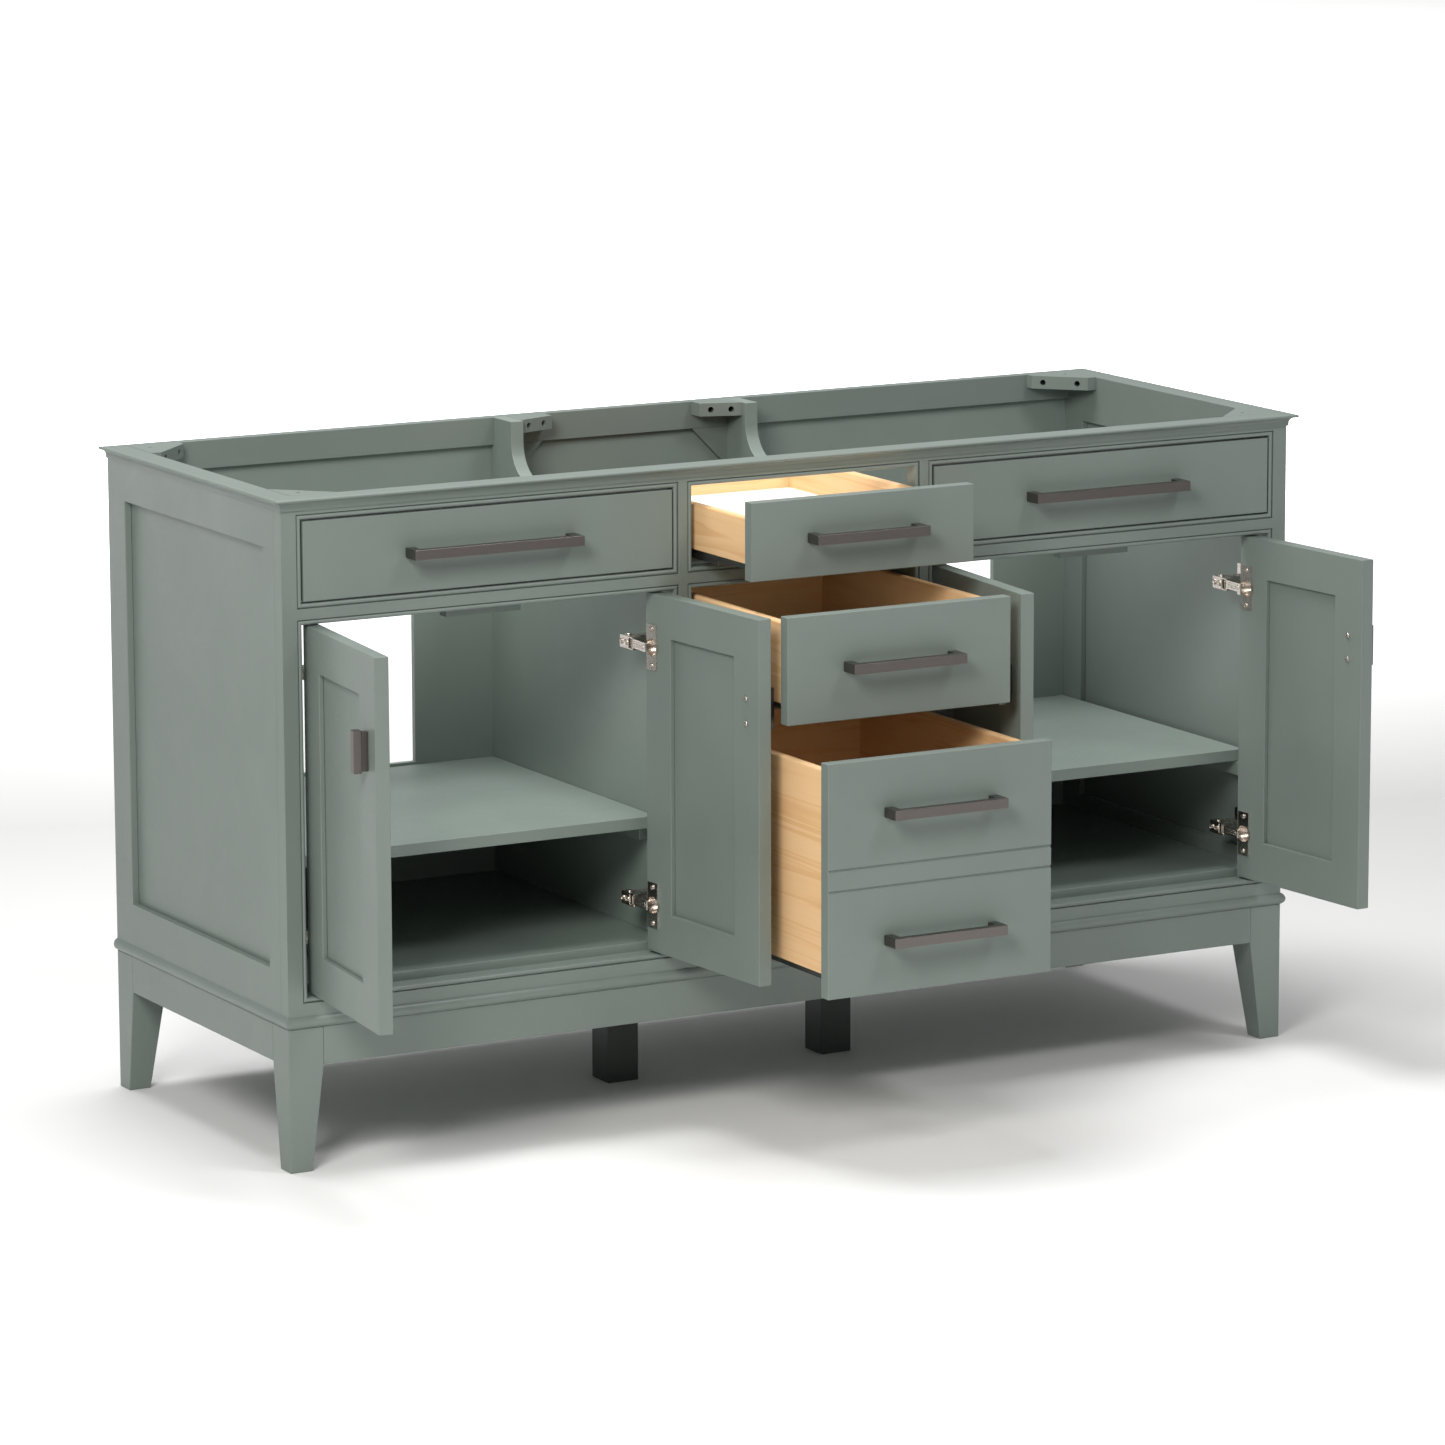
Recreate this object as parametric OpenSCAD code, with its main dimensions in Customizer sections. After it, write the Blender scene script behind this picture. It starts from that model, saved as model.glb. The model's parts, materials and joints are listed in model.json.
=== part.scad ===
// Double bathroom vanity base cabinet: two sink bays with a pair of inset doors each, and a bank of
// three drawers between them. Painted wood frame with no countertop. It is drawn with its doors and
// drawers open. Millimetres. X runs along the front from the middle, Y = 0 is the back that stands
// against the wall, the front faces -Y, and Z = 0 is the floor.

/* [Overall] */
// Width over the lip of the top moulding
cab_w = 1524; // [1500:1:1560]
// Depth from the back to the front of the lip
cab_d = 546; // [520:1:570]
// Height from the floor to the top edge
cab_h = 864; // [850:1:900]

/* [Top moulding] */
// How far the lip stands out past the body
lip_over = 12; // [8:0.5:16]
// Height of the whole moulding
mould_h = 15.5; // [13:0.5:20]
// Thickness of the lip
lip_t = 4; // [3:0.5:6]

/* [Face frame] */
// Thickness of the face frame
frame_t = 22; // [20:1:25]
// Width of the bead round each opening
bead_w = 6.5; // [5:0.5:8]
// Flat width of the outer stiles
stile_w = 21; // [18:0.5:26]
// Half width of the centre opening, inside its bead
mid_open = 167; // [160:1:175]
// Inside edge of the sink bays, measured from the middle
bay_in = 193.5; // [190:0.5:200]
// Bottom of the door and bottom drawer openings
low_z = 225.5; // [215:0.5:235]
// Top of the door openings
door_top_z = 703; // [690:0.5:710]
// Bottom of the upper row of openings
row_z = 730; // [725:0.5:740]
// Top of the upper row of openings
row_top_z = 836.5; // [830:0.5:840]
// Bottom of the middle drawer opening
mid_z = 559.5; // [550:0.5:570]
// Top of the bottom drawer opening
mid_low_z = 532.5; // [520:0.5:540]

/* [Sides] */
// Thickness of the side frames
side_t = 24; // [20:1:27]
// Width of the side stiles, the front one with the face frame's edge
side_stile = 54; // [45:1:65]
// Bottom of the side panel
side_panel_z = 258.5; // [250:0.5:280]
// Top of the side panel
side_panel_top = 797; // [780:0.5:810]
// Depth of the recess outside the side panel
side_recess = 9.5; // [7:0.5:11]
// Thickness of the thin panels
thin_t = 6; // [5:0.5:8]

/* [Base] */
// Bottom edge of the aprons
apron_z = 137.5; // [120:0.5:150]
// Bottom of the base bead, level with the top of the aprons and legs
bead_z = 187; // [180:0.5:195]
// Height of the base bead
base_bead_h = 15.5; // [12:0.5:18]
// How far the base bead stands out
base_bead_out = 5; // [4:0.5:6]
// Thickness of the aprons
apron_t = 18; // [15:1:22]
// Width of a leg at the top
leg_top = 48.5; // [44:0.5:54]
// Width of a leg at the foot
leg_foot = 31; // [26:0.5:36]
// Side of the square centre posts
post_w = 46; // [40:1:50]
// X of the left centre post
post_left = -155; // [-180:1:-140]
// X of the right centre post
post_right = 174; // [140:1:180]
// Y of both centre posts
post_y = -291; // [-300:1:-250]

/* [Inside] */
// Thickness of the two partitions
part_t = 19; // [16:0.5:19]
// Thickness of the floor deck
deck_t = 18; // [15:1:20]
// Top of the floor deck
deck_z = 237; // [236:0.5:240]
// Top of the shelves
shelf_z = 396; // [380:1:420]
// Thickness of the shelves
shelf_t = 16; // [15:1:20]
// Thickness of the back panel
back_t = 9; // [6:1:12]
// Height of the rail along the top of the back
back_rail_h = 38; // [35:1:60]
// Thickness of that rail
back_rail_t = 18; // [16:1:22]
// Height to which the partitions are cut down behind the face frame
scoop_z = 788; // [780:1:795]
// Radius of the curve in a partition's upper edge
scoop_r = 48; // [30:1:52]
// Length of the full-height part of a partition, from the wall
scoop_y = 70; // [50:1:120]
// Width of each plumbing opening
pipe_w = 298; // [250:1:310]
// Bottom of the plumbing openings
pipe_z = 400; // [400:1:450]
// Top of the plumbing openings
pipe_top = 650; // [600:1:700]

/* [Doors] */
// Thickness of the doors
door_t = 19; // [18:0.5:19]
// Gap round the inset doors and drawer fronts
gap = 2.5; // [2:0.1:3]
// Width of the door stiles
rail_w = 57; // [50:1:65]
// Width of the door rails
rail_h = 55; // [50:1:65]
// How far open the four doors stand, from left to right
door_open = [96, 94.5, 94.5, 94.5]; // [0:0.5:100]

/* [Drawers] */
// How far out the top, middle and bottom drawers stand
drawer_out = [152, 244, 346]; // [0:1:420]
// Thickness of the drawer fronts
front_t = 18; // [16:0.5:19]
// Thickness of the drawer box sides
box_t = 12; // [10:0.5:15]
// Width of the drawer boxes
box_w = 320; // [310:1:324]
// Length of the drawer boxes
box_len = 450; // [400:1:460]

/* [Pulls] */
// Height of a pull bar
bar_h = 13; // [10:0.5:15]
// Depth of a pull bar
bar_t = 11; // [8:0.5:12]
// How far a pull stands out
bar_out = 28.5; // [24:0.5:32]
// Length of the pulls on the false fronts
long_pull = 240; // [200:1:260]
// Length of the pulls on the drawers
short_pull = 166; // [140:1:180]
// Length of the pulls on the doors
door_pull_len = 54; // [50:1:64]

/* [Hidden] */
$fn = 48;

paint = [0.50, 0.55, 0.50];
dark_paint = [0.17, 0.20, 0.18];
bronze = [0.30, 0.26, 0.25];
nickel = [0.75, 0.72, 0.68];
pine = [0.87, 0.72, 0.52];
steel = [0.25, 0.25, 0.24];

// Body outline
half_w = cab_w / 2 - lip_over;
face_y = -(cab_d - lip_over);
frame_back = face_y + frame_t;
side_in = half_w - side_t;
mould_z = cab_h - mould_h;

// Openings in the face frame as [left, right, bottom, top], inside their beads
bay_out = half_w - stile_w - bead_w;
OPENINGS = [
    [-bay_out, -bay_in, row_z, row_top_z], [-bay_out, -bay_in, low_z, door_top_z],
    [-mid_open, mid_open, row_z, row_top_z], [-mid_open, mid_open, mid_z, door_top_z],
    [-mid_open, mid_open, low_z, mid_low_z],
    [bay_in, bay_out, row_z, row_top_z], [bay_in, bay_out, low_z, door_top_z]
];

// Partitions
part_out = bay_in - 3.5;
part_in = part_out - part_t;

// Doors: width, height and the point they turn about, measured from the hinge corner
door_w = (bay_out - bay_in - 3 * gap) / 2;
door_z = low_z + gap;
door_h = door_top_z - low_z - 2 * gap;
turn = [15, 7.5];
// X of each door's hinge corner, and 1 where the door is hinged on its right
DOORS = [[-bay_out + gap, 0], [-bay_in - gap, 1], [bay_in + gap, 0], [bay_out - gap, 1]];

// Concealed hinges: their heights, and the cup's distance from the door's edge
HINGE_Z = [290, 630];
cup_in = 15;
cup_r = 13;
cup_deep = 11;
// Pin the moving link turns about, from the door's hinge corner
arm_pin = [34, 46];
link_len = 38;
link_t = 4;
link_h = 12;
// The link stands this far round from the front when its door is shut, and turns this much of a door
link_shut = 59;
link_share = 0.6;
pin_r = 2;
pin_clear = 0.05;

// Drawers as [front bottom, front top, box bottom, box top]
DRAWERS = [
    [row_z + gap, row_top_z - gap, 752.5, 812],
    [mid_z + gap, door_top_z - gap, 587, 692],
    [low_z + gap, mid_low_z - gap, 257, 520]
];
box_y = face_y + front_t;
bottom_up = 12;
slide_h = 6;
runner_h = 7;
mid_h = 5;
slide_gap = 0.5;
slide_w = 18;
slide_x = box_w / 2 - slide_w - 2;
slide_y = frame_back + 2;
slide_len = 446;

// ---------- helpers ----------

module block(x0, x1, y0, y1, z0, z1) {
    translate([x0, y0, z0]) cube([x1 - x0, y1 - y0, z1 - z0]);
}

// Copies to the other side of the cabinet
module both_sides() {
    children();
    mirror([1, 0, 0]) children();
}

// A section drawn as [outwards, up] run along the front and both sides, mitred at the front corners.
// It starts at the body's outline, and reach is more than the section stands out.
module run_round(reach) {
    intersection() {
        translate([-half_w - reach, face_y, 0]) rotate([90, 0, 90])
            linear_extrude(cab_w + 2 * reach) mirror([1, 0, 0]) children();
        linear_extrude(cab_h + 1)
            polygon([[-half_w, face_y], [-half_w - reach, face_y - reach],
                [half_w + reach, face_y - reach], [half_w, face_y]]);
    }
    both_sides() intersection() {
        translate([half_w, 0, 0]) rotate([90, 0, 0])
            linear_extrude(cab_d + reach) children();
        linear_extrude(cab_h + 1)
            polygon([[half_w, 0], [half_w, face_y], [half_w + reach, face_y - reach],
                [half_w + reach, 0]]);
    }
}

// Bar pull along X, centred, standing out towards -Y from y = 0
module bar_pull(len) {
    color(bronze) union() {
        block(-len / 2, len / 2, -bar_out, -bar_out + bar_t, -bar_h / 2, bar_h / 2);
        for (s = [-1, 1])
            translate([s * (len / 2 - bar_h / 2), 0, 0])
                block(-bar_h / 2, bar_h / 2, -bar_out, 0, -bar_h / 2, bar_h / 2);
    }
}

// ---------- carcass ----------

// Frame and panel sides; the panel sits in a groove
module side_frames() {
    color(paint) both_sides() difference() {
        block(side_in, half_w, frame_back, 0, bead_z, cab_h);
        block(side_in - 1, half_w + 1, face_y + side_stile, -side_stile, side_panel_z, side_panel_top);
        side_panel_shape();
    }
}

groove = 8;
module side_panel_shape() {
    block(half_w - side_recess - thin_t, half_w - side_recess, face_y + side_stile - groove,
        -side_stile + groove, side_panel_z - groove, side_panel_top + groove);
}

module side_panels() {
    color(paint) both_sides() side_panel_shape();
}

module face_frame() {
    color(paint) difference() {
        block(-half_w, half_w, face_y, frame_back, bead_z, cab_h);
        for (o = OPENINGS)
            block(o[0] - bead_w, o[1] + bead_w, face_y - 1, frame_back + 1, o[2] - bead_w, o[3] + bead_w);
    }
}

quirk = 1;
bead_r = (bead_w - quirk) / 2;
// One side of a bead below an edge that runs from x = 0 to len, with mitred ends; the nose is at +Z
module bead_side(len) {
    intersection() {
        translate([-bead_w, 0, 0]) rotate([90, 0, 90]) linear_extrude(len + 2 * bead_w) {
            translate([-bead_w, 0]) square([bead_w, frame_t - bead_r]);
            translate([-bead_r, frame_t - bead_r]) circle(bead_r);
        }
        linear_extrude(frame_t + 1)
            polygon([[0, 0], [-bead_w, -bead_w], [len + bead_w, -bead_w], [len, 0]]);
    }
}

// Bead round one opening: a half-round nose flush with the frame, with a fine groove outside it
module bead_ring(o) {
    wide = o[1] - o[0];
    tall = o[3] - o[2];
    translate([o[0], frame_back, o[2]]) rotate([90, 0, 0]) {
        bead_side(wide);
        translate([wide, tall, 0]) rotate(180) bead_side(wide);
        translate([wide, 0, 0]) rotate(90) bead_side(tall);
        translate([0, tall, 0]) rotate(-90) bead_side(tall);
    }
}

module opening_beads() {
    color(paint) for (o = OPENINGS) bead_ring(o);
}

// Lip with an eased edge over a cove that runs in to a narrow band
module mould_section() {
    band = 2;
    cove_r = 7.5;
    lip_z = cab_h - lip_t;
    difference() {
        translate([0, mould_z]) square([band + cove_r, mould_h]);
        translate([band + cove_r, lip_z - cove_r]) circle(cove_r);
        translate([band, mould_z - 1]) square([cove_r + 1, lip_z - cove_r - mould_z + 1]);
    }
    translate([0, lip_z]) square([lip_over - lip_t / 2, lip_t]);
    translate([lip_over - lip_t / 2, cab_h - lip_t / 2]) circle(lip_t / 2);
}

module top_moulding() {
    color(paint) run_round(lip_over + 2) mould_section();
}

// Half-round bead between the body and the base
module base_bead() {
    half_h = base_bead_h / 2;
    r = (half_h * half_h + base_bead_out * base_bead_out) / (2 * base_bead_out);
    color(paint) run_round(base_bead_out + 2) intersection() {
        translate([base_bead_out - r, bead_z + half_h]) circle(r, $fn = 96);
        translate([0, bead_z]) square([base_bead_out + 1, base_bead_h]);
    }
}

module back_rail() {
    color(paint) block(-side_in, side_in, -back_rail_t, 0, cab_h - back_rail_h, cab_h);
}

block_h = 18;
screw_r = 2.5;
front_leg = 65;
// Vertical countertop screw in each front block and rear cleat
screw_x = side_in - 20;
front_screw_y = frame_back + 20;
rear_screw_y = -back_rail_t - 22;
module top_screw_hole(y) {
    translate([screw_x, y, cab_h - block_h - 1]) cylinder(r = screw_r, h = block_h + 2);
}

module front_block() {
    difference() {
        translate([side_in, frame_back, cab_h - block_h])
            linear_extrude(block_h) polygon([[0, 0], [-front_leg, 0], [0, front_leg]]);
        top_screw_hole(front_screw_y);
    }
}

// Holes at the given points of a cleat, running along its slant towards the corner
module slant_holes(points, turn_by) {
    for (p = points)
        translate([p[0], p[1], block_h / 2]) rotate([-90, 0, -turn_by]) translate([0, 0, -4])
            cylinder(r = 4, h = 70);
}

module rear_cleat() {
    difference() {
        translate([side_in, -back_rail_t, cab_h - block_h]) difference() {
            linear_extrude(block_h) polygon([[0, 0], [-71, 0], [-71, -15], [-14, -72], [0, -72]]);
            slant_holes([[-60, -26], [-25, -61]], 45);
        }
        top_screw_hole(rear_screw_y);
    }
}

module mid_cleat() {
    translate([part_in, -back_rail_t, cab_h - block_h]) difference() {
        linear_extrude(block_h) polygon([[0, 0], [-57, 0], [-57, -25], [0, -44]]);
        slant_holes([[-42, -30], [-15, -39]], 18.4);
    }
}

gusset_leg = 55;
module corner_blocks() {
    stop_x = (bay_in + bay_out) / 2;
    color(paint) both_sides() {
        front_block();
        rear_cleat();
        mid_cleat();
        // 45 degree gusset under the rail, in the corner with the partition
        translate([part_in, -back_t, cab_h - back_rail_h]) rotate([90, 0, 0])
            linear_extrude(back_rail_t - back_t) polygon([[0, 0], [-gusset_leg, 0], [0, -gusset_leg]]);
        // Door stop behind the rail over the doors, where the pair meets
        block(stop_x - 53, stop_x + 53, frame_back, frame_back + 18, door_top_z - 11, row_z - 8);
    }
}

// Full height at the back, cut down to scoop_z behind the face frame
module partition() {
    arc_y = -scoop_y - scoop_r;
    arc_z = scoop_z + scoop_r;
    translate([part_in, 0, 0]) rotate([90, 0, 90]) linear_extrude(part_t) difference() {
        translate([frame_back, deck_z]) square([-back_t - frame_back, cab_h - deck_z]);
        translate([frame_back - 1, scoop_z]) square([arc_y - frame_back + 1, cab_h]);
        translate([arc_y - 1, arc_z]) square([scoop_r + 1, cab_h]);
        translate([arc_y, arc_z]) circle(scoop_r, $fn = 96);
        translate([-back_rail_t, cab_h - back_rail_h]) square([back_rail_t, cab_h]);
    }
}

module partition_left() {
    color(paint) mirror([1, 0, 0]) partition();
}

module partition_right() {
    color(paint) partition();
}

// Back panel with a plumbing opening behind each sink
module back_panel() {
    bay_mid = (bay_in + bay_out) / 2;
    color(paint) difference() {
        block(-side_in, side_in, -back_t, 0, bead_z, cab_h - back_rail_h);
        for (s = [-1, 1])
            translate([s * bay_mid, 0, 0])
                block(-pipe_w / 2, pipe_w / 2, -back_t - 1, 1, pipe_z, pipe_top);
    }
}

// Stepped down along its front edge, to clear the doors as they turn
module floor_deck() {
    step = 8;
    color(paint) difference() {
        block(-side_in, side_in, frame_back, -back_t, deck_z - deck_t, deck_z);
        block(-side_in - 1, side_in + 1, frame_back - 1, frame_back + step, low_z - 0.5, deck_z + 1);
    }
}

// ---------- shelves ----------

shelf_y = -475;
module shelves() {
    color(paint) both_sides()
        block(part_out + 0.5, side_in - 0.5, shelf_y, -back_t, shelf_z - shelf_t, shelf_z);
}

// Strip under each end of a shelf, fixed to the partition or to both side stiles
cleat_t = 12;
cleat_h = 20;
module shelf_cleats() {
    low = shelf_z - shelf_t - cleat_h;
    color(paint) both_sides() {
        block(part_out, part_out + cleat_t, shelf_y + 25, -back_t, low, low + cleat_h);
        block(side_in - cleat_t, side_in, shelf_y - 10, -back_t, low, low + cleat_h);
    }
}

// ---------- false fronts ----------

module false_fronts() {
    color(paint) both_sides()
        block(bay_in + gap, bay_out - gap, face_y, box_y, row_z + gap, row_top_z - gap);
}

module false_front_pulls() {
    both_sides() translate([(bay_in + bay_out) / 2, face_y, (row_z + row_top_z) / 2]) bar_pull(long_pull);
}

// ---------- base ----------

module base_aprons() {
    color(paint) {
        block(-half_w + leg_top, half_w - leg_top, face_y, face_y + apron_t, apron_z, bead_z);
        block(-half_w + leg_top, half_w - leg_top, -apron_t, 0, apron_z, bead_z);
        both_sides() block(half_w - apron_t, half_w, face_y + leg_top, -leg_top, apron_z, bead_z);
    }
}

// Straight outside, tapered on the two inner faces below the aprons
module leg() {
    taper = [[0, 0], [0, bead_z], [leg_top, bead_z], [leg_top, apron_z], [leg_foot, 0]];
    intersection() {
        rotate([90, 0, 0]) translate([0, 0, -leg_top]) linear_extrude(leg_top) polygon(taper);
        rotate([90, 0, 90]) linear_extrude(leg_top) polygon(taper);
    }
}

module corner_legs() {
    color(paint) both_sides() {
        translate([-half_w, face_y, 0]) leg();
        translate([-half_w, 0, 0]) mirror([0, 1, 0]) leg();
    }
}

module centre_posts() {
    color(dark_paint) for (x = [post_left, post_right])
        block(x - post_w / 2, x + post_w / 2, post_y - post_w / 2, post_y + post_w / 2, 0, deck_z - deck_t);
}

// ---------- doors ----------

// Puts a closed door's parts at its hinge corner and turns them to where the door stands
module on_door(i) {
    translate([DOORS[i][0], face_y, 0]) mirror([DOORS[i][1], 0, 0])
        translate([turn[0], turn[1], 0]) rotate(-door_open[i]) translate([-turn[0], -turn[1], 0])
            children();
}

panel_y = 6.5;
module door_panel_shape() {
    block(rail_w - groove, door_w - rail_w + groove, panel_y, panel_y + thin_t,
        door_z + rail_h - groove, door_z + door_h - rail_h + groove);
}

pull_x = door_w - rail_w / 2;
pull_z = 580;
module door_frame(i) {
    color(paint) on_door(i) difference() {
        block(0, door_w, 0, door_t, door_z, door_z + door_h);
        block(rail_w, door_w - rail_w, -1, door_t + 1, door_z + rail_h, door_z + door_h - rail_h);
        door_panel_shape();
        for (z = HINGE_Z)
            translate([cup_in, door_t - cup_deep, z]) rotate([-90, 0, 0])
                cylinder(r = cup_r, h = cup_deep + 1);
    }
}

module door_panel(i) {
    color(paint) on_door(i) door_panel_shape();
}

// Short pull: a square bar on a narrower foot
module door_pull(i) {
    foot = 9;
    color(bronze) on_door(i) translate([pull_x, 0, pull_z]) union() {
        block(-6, 6, -20, -foot, -door_pull_len / 2, door_pull_len / 2);
        block(-4, 4, -foot - 1, 0, -door_pull_len / 2 + 2, door_pull_len / 2 - 2);
    }
}

// Cup and wing plate of each concealed hinge
wing_t = 2;
wing_w = 22;
wing_h = 60;
cup_wall = 1.5;
module door_cups(i) {
    color(nickel) on_door(i) for (z = HINGE_Z) translate([cup_in, door_t, z]) rotate([90, 0, 0])
        difference() {
            union() {
                translate([0, 0, -wing_t]) cylinder(r = cup_r, h = cup_deep + wing_t);
                translate([-wing_w / 2, -wing_h / 2, -wing_t]) cube([wing_w, wing_h, wing_t]);
            }
            translate([0, 0, -wing_t - 1]) cylinder(r = cup_r - cup_wall, h = cup_deep + wing_t);
            for (s = [-1, 1])
                translate([0, s * 24, -wing_t - 1]) cylinder(r = 2, h = wing_t + 2);
        }
}

// The moving link of each hinge, from the fixed pin to just over the cup
module door_links(i) {
    swing = link_shut - link_share * door_open[i];
    color(nickel) translate([DOORS[i][0], face_y, 0]) mirror([DOORS[i][1], 0, 0]) for (z = HINGE_Z)
        translate([arm_pin[0], arm_pin[1], z - link_h / 2]) rotate(swing - 90) difference() {
            union() {
                cylinder(r = 4, h = link_h);
                block(0, link_len, -link_t / 2, link_t / 2, 0, link_h);
            }
            translate([0, 0, -1]) cylinder(r = pin_r + pin_clear, h = link_h + 2);
        }
}

// Fixed half of each hinge: a plate on the wall of the bay, and an arm cranked out to a fork round the pin
fork_t = 2;
fork_gap = 0.5;
plate_h = 44;
module hinge_mount() {
    wall_u = part_out - bay_in - gap;
    ear_z = link_h / 2 + fork_gap;
    arm_h = ear_z + fork_t;
    arm_u = arm_pin[0] - 8;
    arm_front = arm_pin[1] + 6;
    arm_back = arm_pin[1] + 28;
    block(wall_u, wall_u + 2.5, arm_front + 2, arm_back + 2, -plate_h / 2, plate_h / 2);
    block(wall_u + 2, arm_u + 1, arm_front + 4, arm_back - 2, -arm_h + 1, arm_h - 1);
    block(arm_u, arm_pin[0] + 4, arm_front, arm_back, -arm_h, arm_h);
    for (z = [-arm_h, ear_z])
        block(arm_u, arm_pin[0] + 4, arm_pin[1] - 6, arm_front + 1, z, z + fork_t);
    translate([arm_pin[0], arm_pin[1], -ear_z - fork_t / 2]) cylinder(r = pin_r, h = 2 * ear_z + fork_t);
}

module hinge_mounts() {
    color(nickel) for (d = DOORS, z = HINGE_Z)
        translate([d[0], face_y, z]) mirror([d[1], 0, 0]) hinge_mount();
}

// ---------- drawers ----------

module on_drawer(i) {
    translate([0, -drawer_out[i], 0]) children();
}

module box_bottom_shape(d) {
    slot = 6;
    block(-box_w / 2 + box_t - slot, box_w / 2 - box_t + slot, box_y + box_t - slot,
        box_y + box_len - box_t + slot, d[2] + bottom_up, d[2] + bottom_up + thin_t);
}

module drawer_box(i) {
    d = DRAWERS[i];
    color(pine) on_drawer(i) difference() {
        block(-box_w / 2, box_w / 2, box_y, box_y + box_len, d[2], d[3]);
        block(-box_w / 2 + box_t, box_w / 2 - box_t, box_y + box_t, box_y + box_len - box_t,
            d[2] - 1, d[3] + 1);
        box_bottom_shape(d);
    }
}

module drawer_bottom(i) {
    color(pine) on_drawer(i) box_bottom_shape(DRAWERS[i]);
}

// The bottom front has two grooves that make it look like two drawers
groove_gap = 27;
groove_w = 3;
groove_deep = 2;
module drawer_front(i) {
    d = DRAWERS[i];
    mid = (d[0] + d[1]) / 2;
    half = mid_open - gap;
    color(paint) on_drawer(i) difference() {
        block(-half, half, face_y, box_y, d[0], d[1]);
        if (i == 2) for (s = [-1, 1])
            translate([0, 0, mid + s * groove_gap / 2])
                block(-half - 1, half + 1, face_y - 1, face_y + groove_deep, -groove_w / 2, groove_w / 2);
    }
}

module drawer_pull(i) {
    d = DRAWERS[i];
    mid = (d[0] + d[1]) / 2;
    quarter = (d[1] - mid + groove_gap / 2) / 2;
    heights = i == 2 ? [mid - quarter, mid + quarter] : [mid];
    on_drawer(i) for (z = heights) translate([0, face_y, z]) bar_pull(short_pull);
}

// Undermount slides: a rail on each partition, a middle member and a runner under the box
module slide_pair(len, z, h) {
    both_sides() block(slide_x, slide_x + slide_w, 0, len, z - h, z);
}

module drawer_runners(i) {
    color(steel) on_drawer(i) translate([0, box_y + 6, 0])
        slide_pair(box_len - 12, DRAWERS[i][2], runner_h);
}

module middle_slides(i) {
    color(steel) translate([0, slide_y - drawer_out[i] / 2, 0])
        slide_pair(slide_len, DRAWERS[i][2] - runner_h - slide_gap, mid_h);
}

// Fixed rails, each with a flange on the partition
module slide_rails() {
    color(steel) for (d = DRAWERS) translate([0, slide_y, 0]) {
        z = d[2] - runner_h - mid_h - 2 * slide_gap;
        slide_pair(slide_len, z, slide_h);
        both_sides() {
            block(slide_x + slide_w - 1, part_in, 0, slide_len, z - slide_h, z - slide_h + 2);
            block(part_in - 2, part_in, 0, slide_len, z - slide_h, z + 10);
        }
    }
}

// ---------- one line per node ----------

side_frames();
side_panels();
face_frame();
opening_beads();
top_moulding();
back_rail();
corner_blocks();
partition_left();
partition_right();
back_panel();
floor_deck();
shelves();
shelf_cleats();
false_fronts();
false_front_pulls();
base_aprons();
base_bead();
corner_legs();
centre_posts();
slide_rails();
hinge_mounts();
door_frame(0);  // door_1_frame
door_panel(0);  // door_1_panel
door_pull(0);  // door_1_pull
door_cups(0);  // door_1_cups
door_links(0);  // door_1_links
door_frame(1);  // door_2_frame
door_panel(1);  // door_2_panel
door_pull(1);  // door_2_pull
door_cups(1);  // door_2_cups
door_links(1);  // door_2_links
door_frame(2);  // door_3_frame
door_panel(2);  // door_3_panel
door_pull(2);  // door_3_pull
door_cups(2);  // door_3_cups
door_links(2);  // door_3_links
door_frame(3);  // door_4_frame
door_panel(3);  // door_4_panel
door_pull(3);  // door_4_pull
door_cups(3);  // door_4_cups
door_links(3);  // door_4_links
drawer_box(0);  // drawer_1_box
drawer_bottom(0);  // drawer_1_bottom
drawer_front(0);  // drawer_1_front
drawer_pull(0);  // drawer_1_pull
drawer_runners(0);  // drawer_1_runners
drawer_box(1);  // drawer_2_box
drawer_bottom(1);  // drawer_2_bottom
drawer_front(1);  // drawer_2_front
drawer_pull(1);  // drawer_2_pull
drawer_runners(1);  // drawer_2_runners
drawer_box(2);  // drawer_3_box
drawer_bottom(2);  // drawer_3_bottom
drawer_front(2);  // drawer_3_front
drawer_pull(2);  // drawer_3_pull
drawer_runners(2);  // drawer_3_runners
middle_slides(0);  // middle_slides_1
middle_slides(1);  // middle_slides_2
middle_slides(2);  // middle_slides_3
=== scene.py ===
# Looks of the bathroom vanity cabinet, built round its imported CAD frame.
import math
import json

import bpy
from mathutils import Matrix, Vector

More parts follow.
